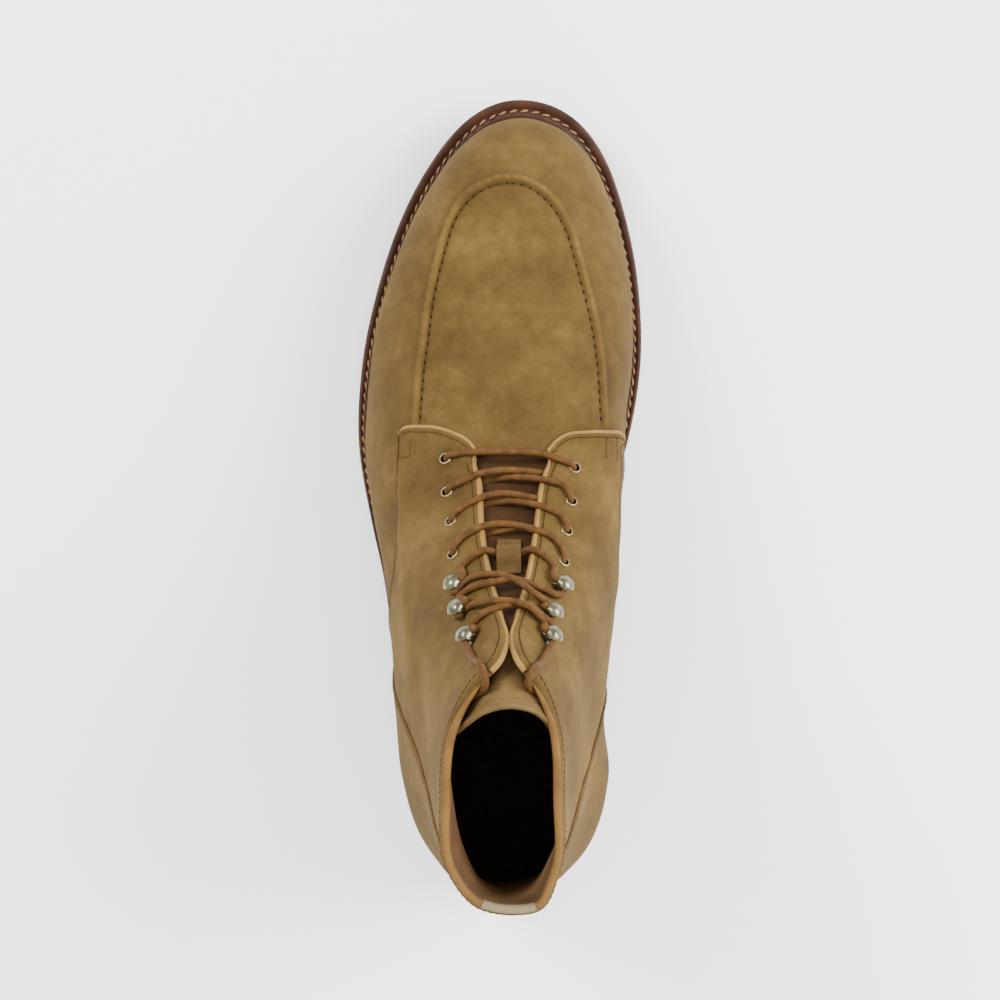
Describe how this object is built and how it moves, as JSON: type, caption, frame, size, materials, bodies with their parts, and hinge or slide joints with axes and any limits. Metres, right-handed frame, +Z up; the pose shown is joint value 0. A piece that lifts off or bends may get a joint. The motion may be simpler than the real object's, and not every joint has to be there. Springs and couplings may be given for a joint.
{
  "type": "moc toe boot",
  "caption": "Left ankle boot in sand suede with a raised moc toe apron seam, round cord laces through eyelets and hooks, a leather welt and a studded rubber sole with a low heel.",
  "frame": {"origin": "middle of the sole's bounding box, on the floor", "axes": "+Y from the heel to the toe, +X towards the inner (medial) side of this left boot, +Z up"},
  "size_m": [0.1089, 0.303, 0.1658],
  "materials": {
    "suede": "napped suede, matte, softly mottled",
    "binding_leather": "smooth light tan edge binding with a slight sheen",
    "lining_leather": "smooth tan lining leather",
    "edge_leather": "dark red-brown waxed edge leather",
    "sole_rubber": "matte dark brown rubber",
    "nickel": "aged nickel",
    "lace_cord": "round waxed brown cord"
  },
  "bodies": {
    "root": {"outsole": "sole_rubber", "heel": "sole_rubber", "midsole": "edge_leather", "welt": "edge_leather", "insole": "lining_leather", "upper": "suede", "edge_binding": "binding_leather", "tongue": "suede", "tongue_keeper": "binding_leather", "eyelet_lateral_1": "nickel", "eyelet_lateral_2": "nickel", "eyelet_lateral_3": "nickel", "eyelet_lateral_4": "nickel", "eyelet_medial_1": "nickel", "eyelet_medial_2": "nickel", "eyelet_medial_3": "nickel", "eyelet_medial_4": "nickel", "hook_lateral_1": "nickel", "hook_lateral_2": "nickel", "hook_lateral_3": "nickel", "hook_medial_1": "nickel", "hook_medial_2": "nickel", "hook_medial_3": "nickel", "lace_bar": "lace_cord", "lace_cross_2": "lace_cord", "lace_cross_3": "lace_cord", "lace_cross_4": "lace_cord", "lace_hooks": "lace_cord", "lace_end_lateral": "lace_cord", "lace_end_medial": "lace_cord"}
  },
  "joints": []
}
